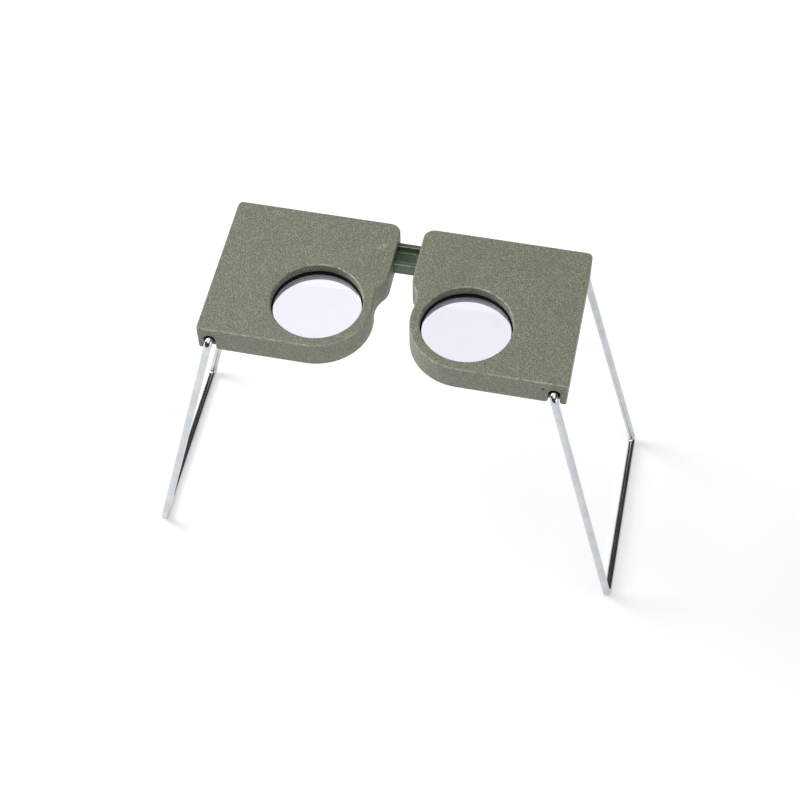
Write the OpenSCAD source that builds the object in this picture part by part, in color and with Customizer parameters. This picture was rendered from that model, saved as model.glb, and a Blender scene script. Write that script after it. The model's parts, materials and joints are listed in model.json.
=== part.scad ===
// Folding pocket stereoscope: two lens halves on a sliding bridge, each half
// standing on a folding wire leg. Millimetres, +Z up, +X along the lens line.
// The origin is on the table, under the middle of the two halves.

/* [Lenses] */
// Distance between the lens axes at the middle setting
lens_spacing = 65; // [62:0.5:68]
// Travel of the bridge each way from the middle setting
slide_travel = 10; // [4:0.5:10]
// Clear radius of the bore above each lens
bore_r = 19.8; // [18:0.1:19.9]
// Depth of that bore, from the top face to the lens seat
bore_depth = 4.2; // [4:0.1:5.5]
// Radius of each lens
lens_r = 20.7; // [20.5:0.05:20.8]
// Thickness of each lens at its rim
lens_rim = 2; // [1.6:0.1:2.2]
// Radius of curvature of both faces of each lens
lens_curve_r = 150; // [130:1:200]

/* [Halves] */
// Height of the top face above the table
top_height = 149; // [140:1:156]
// Overall width across both halves
body_width = 158.8; // [156:0.2:162]
// Depth of each half, front to back
body_depth = 73; // [72.6:0.1:75]
// Thickness of each half
body_thick = 13; // [12.6:0.1:13.6]
// Gap between the halves at the bridge
middle_gap = 10.4; // [9.6:0.1:11]
// Radius of the round lobe in front of each lens
lobe_r = 24.2; // [24:0.1:24.6]
// Radius of the nose cut-out's waist
waist_r = 12; // [8:0.5:14]
// Distance from the centre plane to the deepest point of the waist
waist_x = 9.2; // [8.8:0.1:9.6]
// Radius of the shoulder beside the bridge
shoulder_r = 10; // [8:0.5:10]
// Wall and top thickness of the shells
wall = 2.2; // [1.8:0.1:2.4]
// Thickness of the bottom covers
cover_thick = 1.8; // [1.4:0.1:2]

/* [Bridge] */
// Width of the bridge bar's flange, front to back
bar_width = 12.5; // [12:0.1:12.8]
// Distance from the body's front face to the flange's front edge
bar_front = 53; // [52.6:0.1:53.2]
// Drop from the top face to the bar's top
bar_drop = 3.3; // [3:0.1:3.4]
// Thickness of the flange
flange_thick = 3.7; // [3.4:0.1:4]
// Overall height of the bar
bar_height = 7.6; // [7.4:0.1:7.7]
// Width of each rail along the bar's top channel
bar_rail = 2.15; // [1.9:0.05:2.3]
// Depth of the top channel
channel_depth = 2.7; // [2.4:0.1:2.8]

/* [Legs] */
// Diameter of the leg wire
wire_d = 3.5; // [3:0.1:3.6]
// Distance from the centre plane to each leg's pivot
pivot_x = 74; // [73.6:0.1:74.2]
// Drop from the top face to the pivot
pivot_drop = 7; // [6.8:0.1:7.2]
// Distance from the centre plane to each leg's base bar
foot_x = 108.8; // [106:0.2:112]
// Length of the base bar, corner to corner
foot_length = 91.5; // [90:0.5:98]
// Gap between a leg's uprights and the wall they stand beside
upright_gap = 0.25; // [0.2:0.05:0.4]
// Radius of the wire's bends, on its centre line
bend_r = 3; // [2.8:0.1:3.4]

/* [Hidden] */
$fn = 96;

// Colours
shell_green = [0.51, 0.52, 0.46];
bar_green = [0.26, 0.31, 0.26];
seal_black = [0.06, 0.06, 0.06];
spacer_grey = [0.40, 0.40, 0.42];
steel_grey = [0.62, 0.63, 0.65];
chrome_grey = [0.83, 0.85, 0.87];
clear_glass = [0.85, 0.90, 0.95, 0.4];

// Gaps between pieces
run_gap = 0.05;   // around a pin that turns
slide_gap = 0.2;  // beside faces that slide
seat_gap = 0.1;   // around a piece that sits in a pocket
cut = 1;          // how far a cutting tool runs past a face

// Levels
bottom_z = top_height - body_thick;
cover_top_z = bottom_z + cover_thick;
ceiling_z = top_height - wall;
pivot_z = top_height - pivot_drop;

// Outline of a half, seen from above; the right half is at +X
front_y = -body_depth / 2;
back_y = body_depth / 2;
inner_x = middle_gap / 2;
outer_x = body_width / 2;
lens_x = lens_spacing / 2;
lens_y = front_y + lobe_r;
lens_centre = [lens_x, lens_y];
lens_to_waist = lens_x - waist_x + waist_r;
waist_centre = [waist_x - waist_r, lens_y + sqrt((lobe_r + waist_r) ^ 2 - lens_to_waist ^ 2)];
shoulder_x = inner_x + shoulder_r;
shoulder_y = waist_centre[1] + sqrt((shoulder_r + waist_r) ^ 2 - (shoulder_x - waist_centre[0]) ^ 2);
filler_shift = [3, 0.6];  // keeps the neck's straight sides off the points where its arcs touch
inner_corner_r = 5;
outer_corner_r = 2.4;
front_corner_r = 1;

// Lens stack, from the top down: bore, seat ring, lens, spacer, cover
pocket_r = lens_r + 0.25;
barrel_r = pocket_r + 1.6;
seat_z = top_height - bore_depth;
seat_thick = 1.5;
seat_r = bore_r - 0.7;
spacer_r = bore_r;
lens_touch = 0.02;        // between a lens face and the inner edge of the ring it rests on
lens_top_z = seat_z - seat_thick - lens_touch - lens_rise(seat_r);
lens_bottom_z = lens_top_z - lens_rim;
spacer_top_z = lens_bottom_z - lens_touch - lens_rise(spacer_r);
bore_bevel = 0.4;

// Leg, laid out flat: u runs from the pivot to the base bar, v along Y
wire_r = wire_d / 2;
bend_swell = 0.04;  // the wire is a little fatter in its bends
bend_bite = 0.3;
leg_drop = pivot_z - wire_r - bend_swell;
leg_reach = foot_x - pivot_x;
leg_splay = atan(leg_reach / leg_drop);
leg_length = sqrt(leg_drop ^ 2 + leg_reach ^ 2);
upright_y = back_y + upright_gap + wire_r;
stub_end_y = back_y - 11.5;
leg_path = [
    [0, -stub_end_y], [0, -upright_y], [leg_length, -foot_length / 2],
    [leg_length, foot_length / 2], [0, upright_y], [0, stub_end_y],
];

// Leg bearings, inside the front and back walls
notch_r = 2.5;
notch_flare_r = 1.4;
saddle_depth = 7;
saddle_back = 2;      // from the wall to the saddle
saddle_in = 10.5;     // from the pivot towards the middle
saddle_bottom_z = pivot_z - wire_r - run_gap;
keeper_thick = 1;
keeper_screw_x = pivot_x - 6.8;
saddle_y = back_y - wall - saddle_back - saddle_depth;
keeper_screw_y = saddle_y + saddle_depth / 2;

// Screws: shank radius, head radius
small_shank_r = 1;
small_head_r = 2.1;
small_head_h = 1.2;
cover_shank_r = 1.25;
cover_head_r = 2.3;
cover_head_h = 1.1;
screw_slack = 0.05;
cover_post_r = 2.7;
cover_posts = [[57, front_y + 6], [outer_x - 9.4, 0], [50, 10.5], [18, back_y - 4.5]];

// Bridge bar
bar_y0 = front_y + bar_front;
bar_y1 = bar_y0 + bar_width;
bar_mid_y = (bar_y0 + bar_y1) / 2;
bar_top_z = top_height - bar_drop;
bar_bottom_z = bar_top_z - bar_height;
flange_bottom_z = bar_top_z - flange_thick;
channel_z = bar_top_z - channel_depth;
web_inset = 1.2;
bar_right_x = 34;
bar_left_x = -44;
guide_end_x = 53;
guide_wall = 1.5;
bar_shank_r = 1.5;
bar_head_r = 2.6;
bar_head_h = 1.6;
bar_boss_r = 2.6;
groove_half = bar_head_r + 0.4;
groove_top_z = bar_bottom_z + bar_head_h + 0.4;
bridge_screw_xs = [13.5, 27.5];
stop_x = 27;
slot_half = slide_travel + bar_shank_r + 0.3;
pocket_pitch = 9.5;
pocket_length = 7.6;
pocket_width = 5.6;
pocket_sink = 0.7;

// Friction spring: a bowed leaf between the left ceiling and the bar's channel
spring_thick = 0.35;
spring_width = 5;
spring_x0 = 8.2;
spring_x1 = 24;
spring_rise = ceiling_z - channel_z - 0.1;
spring_half = (spring_x1 - spring_x0) / 2;
spring_r = (spring_half ^ 2 + spring_rise ^ 2) / (2 * spring_rise);

// ---------- helpers ----------

// How far a lens face stands above its rim, at a radius from its axis
function lens_rise(r) = sqrt(lens_curve_r ^ 2 - r ^ 2) - sqrt(lens_curve_r ^ 2 - lens_r ^ 2);

module at_left() {
    mirror([1, 0, 0]) children();
}

module at_front_and_back() {
    children();
    mirror([0, 1, 0]) children();
}

// A square with one rounded corner, pointing to -X and -Y from the origin
module corner_cut(r) {
    difference() {
        translate([-cut, -cut]) square(r + cut);
        translate([r, r]) circle(r);
    }
}

// A rounded bar shape, its length along X
module oblong(length, width) {
    square([length - width, width], center = true);
    for (side = [-1, 1]) translate([side * (length - width) / 2, 0]) circle(width / 2);
}

// A plate with round corners
module round_plate(length, width, r) {
    square([length - 2 * r, width], center = true);
    square([length, width - 2 * r], center = true);
    for (sx = [-1, 1], sy = [-1, 1])
        translate([sx * (length / 2 - r), sy * (width / 2 - r)]) circle(r);
}

// The cut-out for the nose, in front of a half's shoulder and beside its lobe
module nose_cutout(inset) {
    difference() {
        translate([inner_x - cut, front_y - cut])
            square([lens_x - inner_x + cut, shoulder_y - front_y + cut]);
        translate([lens_x, lens_y]) circle(lobe_r - inset);
        translate([shoulder_x, shoulder_y]) circle(shoulder_r - inset);
        polygon([
            lens_centre, waist_centre + filler_shift,
            [shoulder_x, shoulder_y], [lens_x + cut, shoulder_y + cut],
        ]);
    }
    translate(waist_centre) circle(waist_r + inset);
}

// The right half seen from above, drawn in from its edge by inset
module half_outline(inset = 0) {
    x0 = inner_x + inset;
    x1 = outer_x - inset;
    y0 = front_y + inset;
    y1 = back_y - inset;
    difference() {
        translate([x0, y0]) square([x1 - x0, y1 - y0]);
        nose_cutout(inset);
        translate([x0, y1]) mirror([0, 1]) corner_cut(inner_corner_r - inset);
        translate([x1, y1]) mirror([0, 1]) mirror([1, 0]) corner_cut(max(outer_corner_r - inset, 0.8));
        translate([x1, y0]) mirror([1, 0]) corner_cut(max(front_corner_r - inset, 0.5));
    }
}

// A pan or flat head screw pointing up, its head's underside at the origin
module screw(shank_r, head_r, head_h, length, sunk = false) {
    difference() {
        union() {
            cylinder(r = shank_r, h = length);
            if (sunk) translate([0, 0, -head_h]) cylinder(r1 = head_r, r2 = shank_r, h = head_h);
            else translate([0, 0, -head_h]) cylinder(r = head_r, h = head_h);
        }
        for (turn = [0, 90]) rotate(turn)
            translate([-head_r * 0.55, -0.3, -head_h - cut])
                cube([head_r * 1.1, 0.6, cut + head_h * 0.55]);
    }
}

// ---------- shells ----------

// The slot in the front wall that a leg's wire comes out of, open at the bottom
module leg_notch() {
    translate([pivot_x, back_y + cut, pivot_z]) rotate([90, 0, 0])
        linear_extrude(wall + 2 * cut) {
            circle(notch_r);
            translate([-notch_r, bottom_z - pivot_z - cut])
                square([2 * notch_r, pivot_z - bottom_z + cut]);
            translate([0, bottom_z - pivot_z]) for (side = [0, 1]) mirror([side, 0])
                translate([notch_r, 0]) difference() {
                    translate([-cut, -cut]) square(notch_flare_r + cut);
                    translate([notch_flare_r, notch_flare_r]) circle(notch_flare_r);
                }
        }
}

// The block that a leg's wire turns in, hanging from the ceiling
module leg_saddle() {
    translate([pivot_x - saddle_in, saddle_y, saddle_bottom_z])
        cube([outer_x - wall / 2 - pivot_x + saddle_in, saddle_depth,
              ceiling_z - saddle_bottom_z + wall / 2]);
}

module leg_saddle_holes() {
    bearing_r = wire_r + run_gap;
    translate([pivot_x, saddle_y - cut, pivot_z])
        rotate([-90, 0, 0]) cylinder(r = bearing_r, h = saddle_depth + 2 * cut);
    translate([pivot_x - bearing_r, saddle_y - cut, saddle_bottom_z - cut])
        cube([2 * bearing_r, saddle_depth + 2 * cut, pivot_z - saddle_bottom_z + cut]);
    translate([keeper_screw_x, keeper_screw_y, saddle_bottom_z - cut])
        cylinder(r = small_shank_r + screw_slack, h = 4 + cut);
}

// Everything that both top shells have
module half_shell() {
    difference() {
        union() {
            translate([0, 0, ceiling_z]) linear_extrude(wall) half_outline();
            translate([0, 0, bottom_z]) linear_extrude(body_thick) difference() {
                half_outline();
                half_outline(wall);
            }
            translate([lens_x, lens_y, cover_top_z])
                cylinder(r = barrel_r, h = top_height - cover_top_z - wall / 2);
            for (post = cover_posts) translate([post[0], post[1], cover_top_z])
                cylinder(r = cover_post_r, h = top_height - cover_top_z - wall / 2);
            at_front_and_back() leg_saddle();
            children(0);
        }
        translate([lens_x, lens_y, bottom_z - cut]) cylinder(r = bore_r, h = body_thick + 2 * cut);
        translate([lens_x, lens_y, bottom_z - cut]) cylinder(r = pocket_r, h = seat_z - bottom_z + cut);
        translate([lens_x, lens_y, top_height - bore_bevel])
            cylinder(r1 = bore_r, r2 = bore_r + bore_bevel + cut, h = bore_bevel + cut);
        for (post = cover_posts) translate([post[0], post[1], cover_top_z - cut])
            cylinder(r = cover_shank_r + screw_slack, h = 7 + cut);
        at_front_and_back() {
            leg_notch();
            leg_saddle_holes();
        }
        children(1);
    }
}

// The ledged rib that guides the bar's front edge, cut to a length along X
module bar_guide_rib(x0, x1) {
    ledge = web_inset - slide_gap;
    outside_y = bar_y0 - slide_gap - guide_wall;
    inside_y = bar_y0 - slide_gap;
    translate([x0, 0, 0]) rotate([90, 0, 90]) linear_extrude(x1 - x0) polygon([
        [outside_y, cover_top_z], [inside_y + ledge, cover_top_z],
        [inside_y + ledge, flange_bottom_z - slide_gap], [inside_y, flange_bottom_z - slide_gap],
        [inside_y, bar_top_z + slide_gap], [inside_y + ledge, bar_top_z + slide_gap],
        [inside_y + ledge, top_height - wall / 2], [outside_y, top_height - wall / 2],
    ]);
}

module bar_guides(x1) {
    x0 = inner_x + wall / 2;
    bar_guide_rib(x0, x1);
    translate([0, 2 * bar_mid_y, 0]) mirror([0, 1, 0]) bar_guide_rib(x0, x1);
}

// The opening in the inner wall that the bar passes through
module bar_window(gap) {
    translate([inner_x - cut, bar_y0 - gap, flange_bottom_z - slide_gap])
        cube([wall + 1.5 * cut, bar_width + 2 * gap, flange_thick + 2 * slide_gap]);
    translate([inner_x - cut, bar_y0 + web_inset - gap, bar_bottom_z - slide_gap])
        cube([wall + 1.5 * cut, bar_width - 2 * web_inset + 2 * gap, bar_height]);
}

// A boss hanging from the ceiling into the bar's channel, for a screw from below
module bar_boss(x) {
    translate([x, bar_mid_y, channel_z + slide_gap])
        cylinder(r = bar_boss_r, h = top_height - wall / 2 - channel_z - slide_gap);
}

module bar_boss_hole(x) {
    translate([x, bar_mid_y, channel_z - cut])
        cylinder(r = bar_shank_r + screw_slack, h = 3.2 + cut);
}

module right_top_shell() {
    color(shell_green) half_shell() {
        union() {
            bar_guides(bar_right_x + 1);
            for (x = bridge_screw_xs) bar_boss(x);
        }
        union() {
            bar_window(slide_gap);
            for (x = bridge_screw_xs) bar_boss_hole(x);
        }
    }
}

module left_top_shell() {
    color(shell_green) at_left() half_shell() {
        union() {
            bar_guides(guide_end_x + 2);
            bar_boss(stop_x);
        }
        union() {
            bar_window(3 * slide_gap);
            bar_boss_hole(stop_x);
        }
    }
}

// The flat cover under a half, let in flush between the walls
module bottom_cover() {
    color(shell_green) difference() {
        translate([0, 0, bottom_z]) linear_extrude(cover_thick) half_outline(wall + seat_gap);
        translate([lens_x, lens_y, bottom_z - cut]) cylinder(r = spacer_r, h = cover_thick + 2 * cut);
        for (post = cover_posts) translate([post[0], post[1], bottom_z]) {
            translate([0, 0, -cut]) cylinder(r = cover_shank_r + screw_slack, h = cover_thick + 2 * cut);
            translate([0, 0, -screw_slack])
                cylinder(r1 = cover_head_r + 2 * screw_slack, r2 = cover_shank_r,
                         h = cover_head_h + 2 * screw_slack);
        }
    }
}

module cover_screws() {
    color(steel_grey) for (post = cover_posts)
        translate([post[0], post[1], bottom_z + cover_head_h])
            screw(cover_shank_r, cover_head_r, cover_head_h, 7, sunk = true);
}

// ---------- lens stack ----------

module lens_stack_axis(z) {
    translate([lens_x, lens_y, z]) children();
}

// A biconvex lens: two spherical faces inside one round rim
module lens() {
    rim_mid = lens_bottom_z + lens_rim / 2;
    centre_drop = lens_curve_r - lens_rim / 2 - lens_rise(0);
    color(clear_glass) lens_stack_axis(rim_mid) rotate_extrude() intersection() {
        translate([0, -centre_drop]) circle(lens_curve_r, $fn = 1440);
        translate([0, centre_drop]) circle(lens_curve_r, $fn = 1440);
        translate([0, -lens_r / 2]) square([lens_r, lens_r]);
    }
}

module lens_seat() {
    color(seal_black) lens_stack_axis(seat_z - seat_thick) difference() {
        cylinder(r = pocket_r - seat_gap, h = seat_thick);
        translate([0, 0, -cut]) cylinder(r = seat_r, h = seat_thick + 2 * cut);
    }
}

module lens_spacer() {
    height = spacer_top_z - cover_top_z;
    color(spacer_grey) lens_stack_axis(cover_top_z) difference() {
        cylinder(r = pocket_r - seat_gap, h = height);
        translate([0, 0, -cut]) cylinder(r = spacer_r, h = height + 2 * cut);
    }
}

// ---------- legs and their bearings ----------

function heading(i) = atan2(leg_path[i + 1][1] - leg_path[i][1], leg_path[i + 1][0] - leg_path[i][0]);
function turn_at(i) = (heading(i) - heading(i - 1) + 360) % 360;
function tangent_at(i) = i == 0 || i == len(leg_path) - 1 ? 0 : bend_r * tan(turn_at(i) / 2);

// One straight run of wire; it enters the slightly swollen bends at its ends
module wire_run(i) {
    start = tangent_at(i) - (i == 0 ? 0 : bend_bite);
    end = tangent_at(i + 1) - (i == len(leg_path) - 2 ? 0 : bend_bite);
    length = norm(leg_path[i + 1] - leg_path[i]) - start - end;
    translate(leg_path[i]) rotate(heading(i)) translate([start, 0, 0])
        rotate([0, 90, 0]) cylinder(r = wire_r, h = length);
}

// The bend at point i
module wire_bend(i) {
    translate(leg_path[i]) rotate(heading(i - 1)) translate([-tangent_at(i), bend_r, 0])
        rotate(-90) rotate_extrude(angle = turn_at(i))
            translate([bend_r, 0]) circle(wire_r + bend_swell);
}

module leg() {
    color(chrome_grey) translate([pivot_x, 0, pivot_z]) rotate([0, 90 - leg_splay, 0]) {
        for (i = [0 : len(leg_path) - 2]) wire_run(i);
        for (i = [1 : len(leg_path) - 2]) wire_bend(i);
    }
}

// The plate under a saddle that keeps the wire in, held by one screw
module rear_leg_keeper() {
    length = outer_x - wall - seat_gap - (pivot_x - saddle_in);
    color(steel_grey) difference() {
        translate([pivot_x - saddle_in + length / 2, keeper_screw_y, saddle_bottom_z - keeper_thick])
            linear_extrude(keeper_thick) round_plate(length, saddle_depth - 1, 1);
        translate([keeper_screw_x, keeper_screw_y, saddle_bottom_z - keeper_thick - cut])
            cylinder(r = small_shank_r + screw_slack, h = keeper_thick + 2 * cut);
    }
}

module front_leg_keeper() {
    mirror([0, 1, 0]) rear_leg_keeper();
}

module keeper_screws() {
    color(steel_grey) at_front_and_back()
        translate([keeper_screw_x, keeper_screw_y, saddle_bottom_z - keeper_thick])
            screw(small_shank_r, small_head_r, small_head_h, 4.6);
}

// ---------- bridge ----------

module bridge_bar() {
    length = bar_right_x - bar_left_x;
    color(bar_green) difference() {
        union() {
            translate([bar_left_x, bar_y0, flange_bottom_z]) cube([length, bar_width, flange_thick]);
            translate([bar_left_x, bar_y0 + web_inset, bar_bottom_z])
                cube([length, bar_width - 2 * web_inset, bar_height]);
        }
        // Channel along the top
        translate([bar_left_x - cut, bar_y0 + bar_rail, channel_z])
            cube([length + 2 * cut, bar_width - 2 * bar_rail, channel_depth + cut]);
        // Groove along the underside, for the screw heads
        translate([bar_left_x - cut, bar_mid_y - groove_half, bar_bottom_z - cut])
            cube([length + 2 * cut, 2 * groove_half, groove_top_z - bar_bottom_z + cut]);
        // Slot for the stop screw
        translate([-stop_x, bar_mid_y, bar_bottom_z]) linear_extrude(bar_height)
            oblong(2 * slot_half, 2 * (bar_shank_r + 0.2));
        for (x = bridge_screw_xs) translate([x, bar_mid_y, bar_bottom_z])
            cylinder(r = bar_shank_r + screw_slack, h = bar_height);
        // Moulded pockets in the channel's floor
        for (i = [-1 : 0]) translate([i * pocket_pitch, bar_mid_y, channel_z - pocket_sink])
            linear_extrude(pocket_sink + cut) round_plate(pocket_length, pocket_width, 1.6);
    }
}

module bar_screw(x) {
    translate([x, bar_mid_y, groove_top_z])
        screw(bar_shank_r, bar_head_r, bar_head_h, channel_z + 3 - groove_top_z);
}

module bridge_screws() {
    color(steel_grey) for (x = bridge_screw_xs) bar_screw(x);
}

module stop_screw() {
    color(steel_grey) at_left() translate([0, 0, -slide_gap / 2]) bar_screw(stop_x);
}

module friction_spring() {
    mid_x = (spring_x0 + spring_x1) / 2;
    color(steel_grey) at_left()
        translate([mid_x, bar_mid_y, channel_z + 0.1 + spring_r]) intersection() {
            rotate([90, 0, 0]) difference() {
                cylinder(r = spring_r, h = spring_width, center = true);
                cylinder(r = spring_r - spring_thick, h = spring_width + cut, center = true);
            }
            translate([-spring_half, -spring_width, -spring_r])
                cube([2 * spring_half, 2 * spring_width, spring_rise]);
        }
}

// ---------- assembly ----------

left_top_shell();
right_top_shell();
at_left() bottom_cover();  // left_bottom_cover
bottom_cover();  // right_bottom_cover
at_left() cover_screws();  // left_cover_screws
cover_screws();  // right_cover_screws
at_left() lens();  // left_lens
lens();  // right_lens
at_left() lens_seat();  // left_lens_seat
lens_seat();  // right_lens_seat
at_left() lens_spacer();  // left_lens_spacer
lens_spacer();  // right_lens_spacer
at_left() front_leg_keeper();  // left_front_leg_keeper
at_left() rear_leg_keeper();  // left_rear_leg_keeper
front_leg_keeper();  // right_front_leg_keeper
rear_leg_keeper();  // right_rear_leg_keeper
at_left() keeper_screws();  // left_keeper_screws
keeper_screws();  // right_keeper_screws
at_left() leg();  // left_leg
leg();  // right_leg
bridge_bar();
bridge_screws();
stop_screw();
friction_spring();
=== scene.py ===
"""Looks of the folding pocket stereoscope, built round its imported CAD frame.

Metres, +Z up, +X along the line of the lenses, the viewer on the -Y side.
Shells, covers, bar and small parts take their shape from the CAD meshes and get
rounded edges; the wire legs and the lenses are modelled again in full.
"""
import json
import math

import bmesh
import bpy
from mathutils import Matrix, Vector


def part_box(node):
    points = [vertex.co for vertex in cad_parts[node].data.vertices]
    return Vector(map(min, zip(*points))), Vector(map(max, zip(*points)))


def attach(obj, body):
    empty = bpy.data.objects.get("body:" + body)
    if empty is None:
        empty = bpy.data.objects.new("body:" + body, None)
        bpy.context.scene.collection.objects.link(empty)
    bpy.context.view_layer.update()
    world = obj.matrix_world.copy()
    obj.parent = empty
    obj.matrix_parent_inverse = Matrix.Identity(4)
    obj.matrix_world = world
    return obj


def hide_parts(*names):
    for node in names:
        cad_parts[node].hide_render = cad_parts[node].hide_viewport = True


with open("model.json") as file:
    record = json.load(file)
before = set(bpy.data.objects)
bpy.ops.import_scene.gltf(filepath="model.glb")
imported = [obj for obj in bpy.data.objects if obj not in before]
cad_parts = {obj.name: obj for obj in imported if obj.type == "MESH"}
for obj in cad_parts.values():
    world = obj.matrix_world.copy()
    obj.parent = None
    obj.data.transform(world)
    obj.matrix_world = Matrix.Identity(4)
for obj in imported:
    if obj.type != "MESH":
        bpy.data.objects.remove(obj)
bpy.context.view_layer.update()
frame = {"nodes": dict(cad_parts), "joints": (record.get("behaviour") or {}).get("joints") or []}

MM = 0.001
SIDES = {"left": -1, "right": 1}

# How close two verts are merged, and how close to a plane a vert counts as on it
SAME_SPOT = 0.002 * MM
NEAR = 0.1 * MM

# Edges shorter than this are the facets of a round rim
FACET = 0.3 * MM

# Rounding of the edges
SHELL_TOP_R = 0.6 * MM
SHELL_FOOT_R = 0.5 * MM
WINDOW_R = 0.2 * MM
BORE_MOUTH_R = 0.15 * MM
BAR_EDGE_R = 0.3 * MM
POCKET_EDGE_R = 0.2 * MM
COVER_EDGE_R = 0.25 * MM
RING_EDGE_R = 0.15 * MM
KEEPER_EDGE_R = 0.15 * MM
SPRING_EDGE_R = 0.06 * MM
SUNK_HEAD_R = 0.12 * MM
SMALL_HEAD_R = 0.5 * MM
BRIDGE_HEAD_R = 0.6 * MM
SMALL_RECESS_R = 0.05 * MM
BRIDGE_RECESS_R = 0.06 * MM

# Sizes of the design that the frame's boxes don't give
BORE_R = 19.8 * MM
MOUTH_R = 20.4 * MM
MOUTH_DEPTH = 0.5 * MM
LENS_CURVE_R = 150 * MM
LENS_RIM = 2.0 * MM
LENS_CHAMFER = 0.25 * MM
BAR_CHANNEL = 2.7 * MM
BAR_POCKETS = (-14 * MM, 5 * MM)  # the stretch of the bar that has pockets in its channel
BAR_POCKET_HALF = 3.0 * MM
BEARING_X = 62 * MM
BEARING_FOOT = 1.6 * MM
BEARING_ROOF = 1.0 * MM
FOOT_X = 108.8 * MM
FOOT_HALF = 45.75 * MM
UPRIGHT_Y = 38.5 * MM
STUB_END_Y = 25 * MM
WIRE_R = 1.75 * MM
BEND_R = 3.0 * MM
BEND_SWELL = 0.03 * MM
SWELL_RUN = 1.2 * MM
WIRE_CHAMFER = 0.35 * MM

# Features per metre in the moulded plastic
PEBBLES_PER_M = 1650
FINE_PER_M = 2600
CLOUDS_PER_M = 60
EDGE_PATCHES_PER_M = 420

# Wear with a painted edge highlight, and marks
FRONT_WEAR_AND_HIGHLIGHT = 1.0
OTHER_WEAR_AND_HIGHLIGHT = 0.2
SCUFF_STROKES = [  # centre and half-lengths, in X and Y
    ((-10.5 * MM, 23.6 * MM), (1.9 * MM, 1.2 * MM)),
    ((-12.1 * MM, 21.7 * MM), (1.6 * MM, 1.0 * MM)),
]
SCUFF_DEPTH = 2.0 * MM
BLACK_SPOT_X = 69.3 * MM
BLACK_SPOT_Z = 144.6 * MM
BLACK_SPOT_REACH = 1.0 * MM

# Places taken from the frame
shell_low, shell_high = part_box("right_top_shell")
top_z = shell_high.z
bottom_z = shell_low.z
inner_x = shell_low.x
half_centre = (shell_low + shell_high) / 2
lens_low, lens_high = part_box("right_lens")
lens_centre = (lens_low + lens_high) / 2
lens_r = (lens_high.x - lens_low.x) / 2
bar_low, bar_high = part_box("bridge_bar")
bar_mid_y = (bar_low.y + bar_high.y) / 2
channel_z = bar_high.z - BAR_CHANNEL
hinge = next(joint for joint in frame["joints"] if joint["name"] == "right_leg_fold")
pivot_x = hinge["pos_m"][0]
pivot_z = hinge["pos_m"][2]


# ---------- node trees ----------

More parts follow.
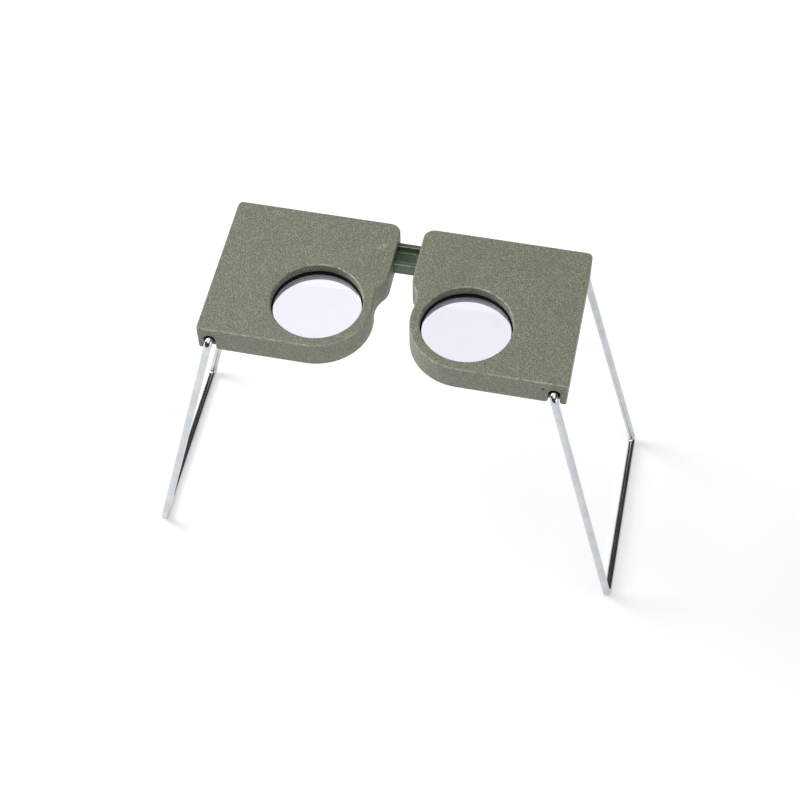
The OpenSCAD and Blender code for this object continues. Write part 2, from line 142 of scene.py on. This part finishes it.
class Tree:
    """A short way to write a material's nodes."""

    def __init__(self, name):
        self.material = bpy.data.materials.new(name)
        self.material.use_nodes = True
        self.nodes = self.material.node_tree.nodes
        self.links = self.material.node_tree.links
        self.shader = self.nodes["Principled BSDF"]
        self.output = self.nodes["Material Output"]

    def add(self, kind, inputs=None, **settings):
        """A node of that kind; inputs are values or other nodes' sockets."""
        node = self.nodes.new(kind)
        for key, value in settings.items():
            setattr(node, key, value)
        for key, value in (inputs or {}).items():
            self.put(node.inputs[key], value)
        return node

    def put(self, socket, value):
        """Links another node's socket to this one, or sets its value."""
        if isinstance(value, bpy.types.NodeSocket):
            self.links.new(value, socket)
        else:
            socket.default_value = value

    def paint(self, **inputs):
        """Sets the main shader's sockets; Base_Color stands for Base Color."""
        for key, value in inputs.items():
            self.put(self.shader.inputs[key.replace("_", " ")], value)

    def place(self, scale=(1, 1, 1)):
        """The part's own coordinates in metres, stretched by scale."""
        coords = self.add("ShaderNodeTexCoord").outputs["Object"]
        return self.add("ShaderNodeMapping", {"Vector": coords, "Scale": scale}).outputs["Vector"]

    def noise(self, at, scale, detail=2.0, roughness=0.5):
        """Cloudy noise from 0 to 1, with scale features per metre."""
        inputs = {"Vector": at, "Scale": scale, "Detail": detail, "Roughness": roughness}
        return self.add("ShaderNodeTexNoise", inputs).outputs["Fac"]

    def cells(self, at, scale, smooth=0.6):
        """Distance to the nearest of scattered points, smoothed into pebbles."""
        inputs = {"Vector": at, "Scale": scale, "Smoothness": smooth}
        return self.add("ShaderNodeTexVoronoi", inputs, feature="SMOOTH_F1").outputs["Distance"]

    def math(self, operation, a, b=0.0, c=0.0):
        """A math node on up to three values or sockets."""
        node = self.add("ShaderNodeMath", operation=operation)
        for socket, value in zip(node.inputs, (a, b, c)):
            self.put(socket, value)
        return node.outputs[0]

    def remap(self, value, low, high, to_low=0.0, to_high=1.0):
        """Low to high becomes to_low to to_high, clamped at both ends."""
        inputs = {"Value": value, "From Min": low, "From Max": high}
        inputs.update({"To Min": to_low, "To Max": to_high})
        return self.add("ShaderNodeMapRange", inputs).outputs["Result"]

    def blend(self, factor, a, b):
        """Colour a where factor is 0, colour b where it is 1."""
        node = self.add("ShaderNodeMix", data_type="RGBA")
        colours = [socket for socket in node.inputs if socket.type == "RGBA"]
        self.put(node.inputs["Factor"], factor)
        self.put(colours[0], a)
        self.put(colours[1], b)
        return next(socket for socket in node.outputs if socket.type == "RGBA")

    def dim(self, colour, factor):
        """A colour times a varying factor."""
        node = self.add("ShaderNodeVectorMath", {"Scale": factor}, operation="SCALE")
        self.put(node.inputs[0], colour)
        return node.outputs["Vector"]

    def bump(self, height, distance, strength=1.0, under=None):
        """Relief of that depth, on top of another one if there is one under it."""
        inputs = {"Height": height, "Distance": distance, "Strength": strength}
        node = self.add("ShaderNodeBump", inputs)
        if under is not None:
            self.put(node.inputs["Normal"], under)
        return node.outputs["Normal"]

    def face_value(self, name):
        """A value that the mesh carries on its faces, or 0 where it carries none."""
        return self.add("ShaderNodeAttribute", attribute_name=name).outputs["Fac"]

    def near(self, at, point, reach):
        """1 at a point, falling to 0 at the ellipsoid of half-axes reach round it."""
        away = self.add("ShaderNodeVectorMath", operation="SUBTRACT")
        self.put(away.inputs[0], at)
        self.put(away.inputs[1], point)
        inner = self.add("ShaderNodeVectorMath", operation="DIVIDE")
        self.put(inner.inputs[0], away.outputs["Vector"])
        self.put(inner.inputs[1], reach)
        length = self.add("ShaderNodeVectorMath", {0: inner.outputs["Vector"]}, operation="LENGTH")
        return self.remap(length.outputs["Value"], 0.0, 1.0, 1.0, 0.0)


def shade(colour, factor):
    """A plain colour made darker or lighter."""
    return tuple(c * factor for c in colour) + (1.0,)


# ---------- materials ----------

def moulded_plastic(name, colour, grain, speckle, roughness, wear_and_highlight, marks=None):
    """Moulded plastic with a fine leather grain.

    Grain is the relief's depth, speckle the change in tone, and the edge setting how pale the rounded
    edges get, partly as wear and partly as a painted highlight.
    """
    tree = Tree(name)
    at = tree.place()
    pebble = tree.cells(at, PEBBLES_PER_M)
    fine = tree.noise(at, FINE_PER_M, 3, 0.6)
    cloud = tree.noise(at, CLOUDS_PER_M, 3, 0.55)
    height = tree.math("MULTIPLY_ADD", fine, 0.6, pebble)
    tone = tree.remap(height, 0.45, 1.0, 1 - speckle, 1 + speckle)
    tone = tree.math("MULTIPLY", tone, tree.remap(cloud, 0.35, 0.65, 0.97, 1.03))
    patchy = tree.remap(tree.noise(at, EDGE_PATCHES_PER_M, 3), 0.3, 0.65)
    # Rounded edges are made paler in patches: partly wear, partly a painted highlight.
    worn_and_highlit = tree.math("MULTIPLY", tree.face_value("edge"), patchy)
    tone = tree.math("MULTIPLY_ADD", worn_and_highlit, wear_and_highlight, tone)
    # Marked bearing faces are made near black, a painted shade for the dark inside the recesses.
    painted_shade_factor = tree.remap(tree.face_value("painted_bearing_shade"), 0.0, 1.0, 1.0, 0.06)
    tone = tree.math("MULTIPLY", tone, painted_shade_factor)
    if marks is not None:
        tone = marks(tree, at, tone)
    polish = tree.remap(cloud, 0.3, 0.7, roughness - 0.05, roughness + 0.05)
    tree.paint(Base_Color=tree.dim(colour, tone), Normal=tree.bump(height, grain),
               Roughness=tree.math("MULTIPLY_ADD", worn_and_highlit, -0.12, polish))
    return tree.material


def shell_marks(tree, at, tone):
    """A pale scuff on the left half and a black spot on the right half's front wall."""
    strokes = [tree.near(at, (*centre, top_z), (*reach, SCUFF_DEPTH)) for centre, reach in SCUFF_STROKES]
    tone = tree.math("MULTIPLY_ADD", tree.math("MAXIMUM", *strokes), 0.9, tone)
    black_spot = tree.near(at, (BLACK_SPOT_X, shell_low.y, BLACK_SPOT_Z), (BLACK_SPOT_REACH, BLACK_SPOT_REACH, BLACK_SPOT_REACH))
    return tree.math("MULTIPLY", tone, tree.remap(black_spot, 0.3, 0.4, 1.0, 0.02))


def plated_wire():
    """Bright plating over drawn wire, with faint drawing lines along it."""
    tree = Tree("leg_chrome")
    along = tree.add("ShaderNodeUVMap", uv_map="wire").outputs["UV"]
    lines = tree.add("ShaderNodeMapping", {"Vector": along, "Scale": (60, 2600, 1)}).outputs["Vector"]
    drawn = tree.noise(lines, 1.0, 3, 0.6)
    at = tree.place()
    haze = tree.noise(at, 110, 3, 0.6)
    pits = tree.remap(tree.cells(at, 700, 0.2), 0.05, 0.16)
    tint = tree.blend(tree.remap(haze, 0.35, 0.65), (0.51, 0.53, 0.55, 1), (0.59, 0.61, 0.63, 1))
    fine = tree.bump(drawn, 0.01 * MM, 0.5)
    tree.paint(Metallic=1.0, Base_Color=tint, Roughness=tree.remap(haze, 0.3, 0.7, 0.07, 0.16),
               Normal=tree.bump(pits, 0.01 * MM, 0.35, fine))
    return tree.material


def brushed_steel(name, colour, roughness, scale=(300, 3000, 3000)):
    """Plain steel with short brush lines along X."""
    tree = Tree(name)
    brush = tree.noise(tree.place(scale), 1.0, 3, 0.6)
    haze = tree.noise(tree.place(), 250, 2)
    tint = tree.blend(tree.remap(haze, 0.35, 0.65), shade(colour, 0.88), shade(colour, 1.06))
    tree.paint(Metallic=1.0, Base_Color=tint, Normal=tree.bump(brush, 0.02 * MM, 0.4),
               Roughness=tree.remap(brush, 0.3, 0.7, roughness - 0.06, roughness + 0.08))
    return tree.material


def seal_rubber():
    """Matt black rubber with a faintly rough skin."""
    tree = Tree("seal_rubber")
    skin = tree.noise(tree.place(), FINE_PER_M, 3, 0.6)
    spread = tree.remap(skin, 0.35, 0.65)
    tint = tree.blend(spread, (0.0015, 0.0025, 0.002, 1), (0.004, 0.006, 0.005, 1))
    tree.paint(Base_Color=tint, Roughness=tree.remap(skin, 0.3, 0.7, 0.6, 0.75),
               Normal=tree.bump(skin, 0.03 * MM, 0.5), Specular_IOR_Level=0.1)
    return tree.material


def lens_glass():
    """Polished glass that lets the lamps' light through, with a faint film of dust."""
    tree = Tree("lens_glass")
    film = tree.noise(tree.place(), 130, 4, 0.6)
    tint = tree.blend(tree.remap(film, 0.45, 0.75), (0.885, 0.887, 0.967, 1), (0.860, 0.862, 0.940, 1))
    tree.paint(Transmission_Weight=1.0, IOR=1.517, Base_Color=tint, Roughness=0.0)
    clear = tree.add("ShaderNodeBsdfTransparent", {"Color": (0.93, 0.94, 0.95, 1)})
    lamp_ray = tree.add("ShaderNodeLightPath").outputs["Is Shadow Ray"]
    shaders = {"Fac": lamp_ray, 1: tree.shader.outputs[0], 2: clear.outputs[0]}
    mixed = tree.add("ShaderNodeMixShader", shaders)
    tree.put(tree.output.inputs["Surface"], mixed.outputs[0])
    return tree.material


def ground_glass():
    """The lens's ground rim."""
    tree = Tree("ground_glass")
    frost = tree.noise(tree.place(), 3000, 2)
    tint = tree.blend(tree.remap(frost, 0.3, 0.7), (0.30, 0.32, 0.33, 1), (0.42, 0.44, 0.45, 1))
    tree.paint(Base_Color=tint, Roughness=tree.remap(frost, 0.3, 0.7, 0.55, 0.8),
               Normal=tree.bump(frost, 0.02 * MM, 0.5))
    return tree.material


# ---------- meshes ----------

def cad_bmesh(node):
    """The CAD node's mesh with its flat faces whole again."""
    bm = bmesh.new()
    bm.from_mesh(frame["nodes"][node].data)
    bmesh.ops.remove_doubles(bm, verts=bm.verts, dist=SAME_SPOT)
    bmesh.ops.dissolve_limit(bm, angle_limit=math.radians(0.5), verts=bm.verts, edges=bm.edges,
                             use_dissolve_boundaries=False)
    return bm


def is_corner(edge, least=25):
    """Whether an edge stands out and turns by more than least degrees."""
    return edge.is_manifold and edge.is_convex and math.degrees(edge.calc_face_angle()) > least


def corners(bm, inside):
    """The corner edges whose two ends both pass a test."""
    return [edge for edge in bm.edges
            if is_corner(edge) and all(inside(vert.co) for vert in edge.verts)]


def round_edges(bm, edges, radius, segments=3):
    """Rounds edges and marks the new faces to be paler, as wear and as a painted highlight."""
    layer = bm.faces.layers.float.get("edge") or bm.faces.layers.float.new("edge")
    made = bmesh.ops.bevel(bm, geom=edges, offset=radius, offset_type="OFFSET", segments=segments,
                           profile=0.5, affect="EDGES", clamp_overlap=False, miter_outer="SHARP")
    for face in made["faces"]:
        face[layer] = 1.0


def finish_piece(name, bm, materials, body, node, smooth=32):
    """Makes the object, shades it, gives it its body and hides the CAD node it stands in for."""
    bmesh.ops.remove_doubles(bm, verts=bm.verts, dist=SAME_SPOT)
    mesh = bpy.data.meshes.new(name)
    bm.to_mesh(mesh)
    bm.free()
    for material in materials:
        mesh.materials.append(material)
    mesh.shade_smooth()
    mesh.set_sharp_from_angle(angle=math.radians(smooth))
    piece = bpy.data.objects.new(name, mesh)
    bpy.context.scene.collection.objects.link(piece)
    normals = piece.modifiers.new("normals", "WEIGHTED_NORMAL")
    normals.keep_sharp = True
    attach(piece, body)
    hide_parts(node)
    return piece


def from_lens_axis(point):
    """Distance of a point from the nearer lens's axis."""
    return math.hypot(abs(point.x) - lens_centre.x, point.y - lens_centre.y)


def on_skin(edge, side):
    """Whether an edge borders a wall's outer face."""
    middle = (edge.verts[0].co + edge.verts[1].co) / 2
    outwards = Vector((middle.x - side * half_centre.x, middle.y - half_centre.y, 0))
    return any(abs(face.normal.z) < 0.5 and face.normal.dot(outwards) > 0 for face in edge.link_faces)


def mark_bearing_shade(bm):
    """Marks the leg bearings and the notches in front of them for painted shade: their faces are darkened
    to stand in for the shade inside.
    """
    layer = bm.faces.layers.float.new("painted_bearing_shade")
    for face in bm.faces:
        spot = face.calc_center_median()
        within_walls = abs(spot.y) < shell_high.y - NEAR / 2 and abs(spot.x) < shell_high.x - MM
        in_height = bottom_z + BEARING_FOOT < spot.z < top_z - BEARING_ROOF
        if within_walls and in_height and abs(spot.x) > BEARING_X:
            face[layer] = 1.0


def mark_wear_and_highlight(bm):
    """Keeps the pale edge tone, wear with a painted highlight, strong on rounded edges that face the
    viewer, and mostly off the others.
    """
    layer = bm.faces.layers.float["edge"]
    for face in bm.faces:
        spot = face.calc_center_median()
        # The chamfer at each bore's mouth is marked too, for a painted highlight line round the rim.
        at_mouth = from_lens_axis(spot) < MOUTH_R and spot.z > top_z - 0.9 * MOUTH_DEPTH
        on_chamfer = at_mouth and 0.3 < face.normal.z < 0.95
        if face[layer] or on_chamfer:
            face[layer] = FRONT_WEAR_AND_HIGHLIGHT if face.normal.y < -0.2 else OTHER_WEAR_AND_HIGHLIGHT


def make_shell(side, material):
    """A top shell with its outline, notches, bridge window and bore softened."""
    node = f"{side}_top_shell"
    bm = cad_bmesh(node)
    outline = corners(bm, lambda p: p.z > top_z - NEAR and from_lens_axis(p) > BORE_R + 2 * MM)
    round_edges(bm, outline, SHELL_TOP_R, 4)

    def on_inner_wall(vert, reach):
        """Whether a vert is within reach of the wall that the bridge passes, above its foot."""
        return abs(vert.co.x) < inner_x + reach and vert.co.z > bottom_z + NEAR

    low = top_z - 2 * MM
    skin = [edge for edge in corners(bm, lambda p: p.z < low) if on_skin(edge, SIDES[side])]
    window = [edge for edge in skin if all(on_inner_wall(vert, NEAR) for vert in edge.verts)]
    foot = [edge for edge in skin
            if edge not in window and not any(on_inner_wall(vert, MM) for vert in edge.verts)]
    round_edges(bm, foot, SHELL_FOOT_R)
    round_edges(bm, [edge for edge in window if edge.is_valid], WINDOW_R, 2)
    mouth = corners(bm, lambda p: p.z > top_z - MOUTH_DEPTH and from_lens_axis(p) < MOUTH_R)
    round_edges(bm, mouth, BORE_MOUTH_R, 2)
    mark_wear_and_highlight(bm)
    mark_bearing_shade(bm)
    return finish_piece(f"{side}_shell_moulding", bm, [material], f"{side}_half", node)


def make_cover(side, material):
    """A bottom cover, its lower edges softened; the screws' countersinks stay sharp."""
    node = f"{side}_bottom_cover"
    bm = cad_bmesh(node)
    low = bottom_z + NEAR
    edges = [edge for edge in corners(bm, lambda p: p.z < low)
             if edge.calc_length() > FACET or on_skin(edge, SIDES[side])]
    round_edges(bm, edges, COVER_EDGE_R, 2)
    return finish_piece(f"{side}_cover_plate", bm, [material], f"{side}_half", node)


def make_bar(material):
    """The bridge bar: long edges and the pockets' rims rounded."""
    bm = cad_bmesh("bridge_bar")

    def on_pocket_rim(p):
        """Whether a point is on the channel's floor, in the stretch that has pockets."""
        in_channel = abs(p.z - channel_z) < NEAR and abs(p.y - bar_mid_y) < BAR_POCKET_HALF
        return in_channel and BAR_POCKETS[0] < p.x < BAR_POCKETS[1]

    pockets = corners(bm, on_pocket_rim)
    long_edges = [edge for edge in corners(bm, lambda p: abs(p.y - bar_mid_y) > BAR_POCKET_HALF - NEAR / 2)
                  if abs(edge.verts[0].co.x - edge.verts[1].co.x) > 10 * MM]
    round_edges(bm, long_edges, BAR_EDGE_R)
    round_edges(bm, [edge for edge in pockets if edge.is_valid], POCKET_EDGE_R)
    return finish_piece("bridge_bar_moulding", bm, [material], "right_half",
                        "bridge_bar")


def make_softened(node, name, body, material, radius):
    """A small part with all its corners softened alike."""
    bm = cad_bmesh(node)
    round_edges(bm, corners(bm, lambda p: True), radius, 2)
    return finish_piece(name, bm, [material], body, node)


def make_screws(node, name, body, material, head_round, recess_round):
    """Screws with rounded heads; the cross recess keeps a crisper edge."""
    bm = cad_bmesh(node)
    face_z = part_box(node)[0].z + NEAR / 2
    face = corners(bm, lambda p: p.z < face_z)
    rim = [edge for edge in face if edge.calc_length() < FACET]
    recess = [edge for edge in face if edge.calc_length() >= FACET]
    round_edges(bm, rim, head_round, 4)
    round_edges(bm, [edge for edge in recess if edge.is_valid], recess_round, 1)
    return finish_piece(name, bm, [material], body, node)


# ---------- lenses ----------

def lens_rise(r):
    """How far a lens face stands above its rim, at a distance from the axis."""
    return math.sqrt(LENS_CURVE_R ** 2 - r ** 2) - math.sqrt(LENS_CURVE_R ** 2 - lens_r ** 2)


def lens_profile(rings=28):
    """Radius and height of the lens's half section, from its top to its bottom."""
    radii = [(lens_r - LENS_CHAMFER) * i / rings for i in range(rings + 1)]
    dome = [(r, LENS_RIM / 2 + lens_rise(r)) for r in radii]
    rim = [(lens_r, LENS_RIM / 2 - LENS_CHAMFER), (lens_r, LENS_CHAMFER - LENS_RIM / 2)]
    return dome + rim + [(r, -z) for r, z in reversed(dome)]


def make_lens(side, glass, rim_glass, segments=128):
    """A biconvex lens with a chamfered, ground rim."""
    bm = bmesh.new()
    centre = Vector((SIDES[side] * lens_centre.x, lens_centre.y, lens_centre.z))
    turns = [2 * math.pi * i / segments for i in range(segments)]
    rings = []
    for r, z in lens_profile():
        if r == 0:
            rings.append([bm.verts.new(centre + Vector((0, 0, z)))] * segments)
            continue
        ring = [Vector((r * math.cos(t), r * math.sin(t), z)) for t in turns]
        rings.append([bm.verts.new(centre + spot) for spot in ring])
    for upper, lower in zip(rings, rings[1:]):
        for i in range(segments):
            around = [upper[i - 1], lower[i - 1], lower[i], upper[i]]
            face = bm.faces.new(list(dict.fromkeys(around)))
            low = all(abs(vert.co.z - centre.z) < LENS_RIM / 2 + NEAR for vert in face.verts)
            outer = from_lens_axis(face.calc_center_median()) > lens_r - LENS_CHAMFER
            face.material_index = int(low and outer)
    bmesh.ops.recalc_face_normals(bm, faces=bm.faces)
    return finish_piece(f"{side}_lens_glass", bm, [glass, rim_glass], f"{side}_half",
                        f"{side}_lens", smooth=25)


# ---------- legs ----------

def leg_stations(bend_steps=18):
    """Centre points, headings and radii along a leg's wire, laid out flat."""
    length = math.hypot(FOOT_X - pivot_x, pivot_z - WIRE_R - BEND_SWELL)
    corner_points = [Vector(p) for p in (
        (0, -STUB_END_Y), (0, -UPRIGHT_Y), (length, -FOOT_HALF),
        (length, FOOT_HALF), (0, UPRIGHT_Y), (0, STUB_END_Y))]
    first = (corner_points[1] - corner_points[0]).normalized()
    last = (corner_points[-1] - corner_points[-2]).normalized()
    stations = [(corner_points[0], first, WIRE_R - WIRE_CHAMFER),
                (corner_points[0] + first * WIRE_CHAMFER, first, WIRE_R)]
    for before, point, after in zip(corner_points, corner_points[1:], corner_points[2:]):
        into = (point - before).normalized()
        out = (after - point).normalized()
        turn = math.acos(into.dot(out))
        aside = Vector((-into.y, into.x))
        setback = BEND_R * math.tan(turn / 2)
        start = point - into * setback
        stations.append((start - into * SWELL_RUN, into, WIRE_R))
        for i in range(bend_steps + 1):
            angle = turn * i / bend_steps
            step = into * math.sin(angle) + aside * (1 - math.cos(angle))
            heading = into * math.cos(angle) + aside * math.sin(angle)
            stations.append((start + step * BEND_R, heading, WIRE_R + BEND_SWELL))
        stations.append((point + out * (setback + SWELL_RUN), out, WIRE_R))
    return stations + [(corner_points[-1] - last * WIRE_CHAMFER, last, WIRE_R),
                       (corner_points[-1], last, WIRE_R - WIRE_CHAMFER)]


def make_leg(side, material, segments=32):
    """One bent wire, swept along its line, with coordinates along and round it."""
    bm = bmesh.new()
    coords = bm.loops.layers.uv.new("wire")
    drop = math.atan2(pivot_z - WIRE_R - BEND_SWELL, FOOT_X - pivot_x)
    outwards = Vector((math.cos(drop), 0, -math.sin(drop)))
    normal = Vector((math.sin(drop), 0, math.cos(drop)))
    mirror = Vector((SIDES[side], 1, 1))

    def lay(flat):
        """A point of the flat drawing, at its place in the standing leg."""
        return Vector((pivot_x, flat.y, pivot_z)) + outwards * flat.x

    stations = leg_stations()
    rings = []
    for point, heading, radius in stations:
        across = outwards * -heading.y + Vector((0, heading.x, 0))
        turns = [2 * math.pi * i / segments for i in range(segments)]
        ring = [lay(point) + radius * (across * math.cos(t) + normal * math.sin(t)) for t in turns]
        rings.append([bm.verts.new(spot * mirror) for spot in ring])
    around_step = 2 * math.pi * WIRE_R / segments
    run = 0.0
    for i in range(len(rings) - 1):
        next_run = run + (stations[i + 1][0] - stations[i][0]).length
        for j in range(segments):
            around = [rings[i][j - 1], rings[i][j], rings[i + 1][j], rings[i + 1][j - 1]]
            face = bm.faces.new(around)
            low = j * around_step
            high = low + around_step
            spots = ((run, low), (run, high), (next_run, high), (next_run, low))
            for loop, spot in zip(face.loops, spots):
                loop[coords].uv = spot
        run = next_run
    bm.faces.new(rings[0])
    bm.faces.new(rings[-1])
    bmesh.ops.recalc_face_normals(bm, faces=bm.faces)
    return finish_piece(f"{side}_leg_wire", bm, [material], f"{side}_leg", f"{side}_leg")


# ---------- the whole viewer ----------

shell_plastic = moulded_plastic("shell_plastic", (0.194, 0.203, 0.151), grain=0.24 * MM, speckle=0.40,
                                roughness=0.5, wear_and_highlight=1.1, marks=shell_marks)
cover_plastic = moulded_plastic("cover_plastic", (0.170, 0.177, 0.144), grain=0.02 * MM, speckle=0.05,
                                roughness=0.5, wear_and_highlight=0.3)
spacer_plastic = moulded_plastic("spacer_plastic", (0.115, 0.120, 0.132), grain=0.01 * MM, speckle=0.04,
                                 roughness=0.45, wear_and_highlight=0.3)
# The bar's rounded edges are made much paler: wear and a painted highlight along its ridges.
bar_plastic = moulded_plastic("bar_plastic", (0.086, 0.124, 0.083), grain=0.03 * MM, speckle=0.14,
                              roughness=0.42, wear_and_highlight=3.2)
rubber = seal_rubber()
glass = lens_glass()
rim_glass = ground_glass()
wire = plated_wire()
keeper_steel = brushed_steel("keeper_steel", (0.55, 0.56, 0.58), 0.32)
screw_steel = brushed_steel("screw_steel", (0.58, 0.59, 0.61), 0.26, (1800, 1800, 600))
spring_steel = brushed_steel("spring_steel", (0.40, 0.41, 0.43), 0.30)

for side in SIDES:
    half = f"{side}_half"
    make_shell(side, shell_plastic)
    make_cover(side, cover_plastic)
    make_lens(side, glass, rim_glass)
    make_leg(side, wire)
    make_softened(f"{side}_lens_seat", f"{side}_seat_ring", half, rubber, RING_EDGE_R)
    make_softened(f"{side}_lens_spacer", f"{side}_spacer_ring", half,
                  spacer_plastic, RING_EDGE_R)
    make_screws(f"{side}_cover_screws", f"{side}_cover_screw_set", half, screw_steel,
                SUNK_HEAD_R, SMALL_RECESS_R)
    make_screws(f"{side}_keeper_screws", f"{side}_keeper_screw_set", half, screw_steel,
                SMALL_HEAD_R, SMALL_RECESS_R)
    for end in ("front", "rear"):
        make_softened(f"{side}_{end}_leg_keeper", f"{side}_{end}_keeper_plate", half,
                      keeper_steel, KEEPER_EDGE_R)
make_bar(bar_plastic)
make_screws("bridge_screws", "bridge_screw_set", "right_half", screw_steel, BRIDGE_HEAD_R, BRIDGE_RECESS_R)
make_screws("stop_screw", "stop_screw_turned", "left_half", screw_steel, BRIDGE_HEAD_R, BRIDGE_RECESS_R)
make_softened("friction_spring", "friction_spring_leaf", "left_half", spring_steel,
              SPRING_EDGE_R)


# ---------- floor, light and camera ----------

CAMERA_LENS_MM = 80.475
CAMERA_PLACE = Vector((0.1072, -0.47078, 0.74481))
CAMERA_YAW = math.radians(12.81)
CAMERA_ELEVATION = math.radians(54.5)
CAMERA_ROLL = math.radians(-1.31)


def make_camera():
    """A camera above and to the right of the front, rolled a little."""
    data = bpy.data.cameras.new("camera")
    data.lens = CAMERA_LENS_MM
    data.sensor_width = 36
    data.clip_start = 0.01
    data.clip_end = 50
    camera = bpy.data.objects.new("camera", data)
    bpy.context.scene.collection.objects.link(camera)
    level = Vector((math.cos(CAMERA_YAW), math.sin(CAMERA_YAW), 0))
    ahead = Vector((-math.sin(CAMERA_YAW), math.cos(CAMERA_YAW), 0))
    back = Vector((0, 0, math.sin(CAMERA_ELEVATION))) - ahead * math.cos(CAMERA_ELEVATION)
    up = back.cross(level)
    right = level * math.cos(CAMERA_ROLL) + up * math.sin(CAMERA_ROLL)
    upward = up * math.cos(CAMERA_ROLL) - level * math.sin(CAMERA_ROLL)
    turn = Matrix((right, upward, back)).transposed().to_4x4()
    camera.matrix_world = Matrix.Translation(CAMERA_PLACE) @ turn
    bpy.context.scene.camera = camera


def make_floor():
    """A plain white floor, lit a little from within so that shadows stay faint."""
    bm = bmesh.new()
    bmesh.ops.create_grid(bm, x_segments=1, y_segments=1, size=4)
    mesh = bpy.data.meshes.new("floor")
    bm.to_mesh(mesh)
    bm.free()
    floor = bpy.data.objects.new("floor", mesh)
    bpy.context.scene.collection.objects.link(floor)
    tree = Tree("floor_white")
    tree.paint(Base_Color=(0.8, 0.8, 0.8, 1), Roughness=0.9)
    tree.paint(Emission_Color=(1, 1, 1, 1), Emission_Strength=0.38)
    mesh.materials.append(tree.material)


def area_light(name, place, aim, size, power):
    """A rectangular lamp of that width and height, turned towards a point."""
    data = bpy.data.lights.new(name, "AREA")
    data.shape = "RECTANGLE"
    data.size, data.size_y = size
    data.energy = power
    light = bpy.data.objects.new(name, data)
    bpy.context.scene.collection.objects.link(light)
    light.location = place
    light.rotation_euler = (Vector(aim) - Vector(place)).to_track_quat("-Z", "Y").to_euler()


def make_world(glow, backdrop):
    """Weak even light all round; low views see it as a backdrop, as pale as the floor's far end."""
    world = bpy.data.worlds.new("world")
    world.use_nodes = True
    nodes = world.node_tree.nodes
    links = world.node_tree.links
    ray = nodes.new("ShaderNodeLightPath")
    level = nodes.new("ShaderNodeMapRange")
    level.inputs["To Min"].default_value = glow
    level.inputs["To Max"].default_value = backdrop
    links.new(ray.outputs["Is Camera Ray"], level.inputs["Value"])
    links.new(level.outputs["Result"], nodes["Background"].inputs["Strength"])
    nodes["Background"].inputs["Color"].default_value = (1, 1, 1, 1)
    bpy.context.scene.world = world


make_camera()
make_floor()
area_light("overhead", place=(0.0, -0.4, 1.65), aim=(0, 0, 0), size=(2.0, 1.8), power=18)
area_light("left", place=(-1.4, 0.25, 1.0), aim=(0, 0, 0.05), size=(0.9, 1.2), power=25)
area_light("right", place=(1.4, -0.6, 0.35), aim=(0, 0, 0.1), size=(0.9, 0.6), power=3.5)
make_world(glow=0.06, backdrop=0.45)
bpy.context.scene.view_settings.view_transform = "Standard"
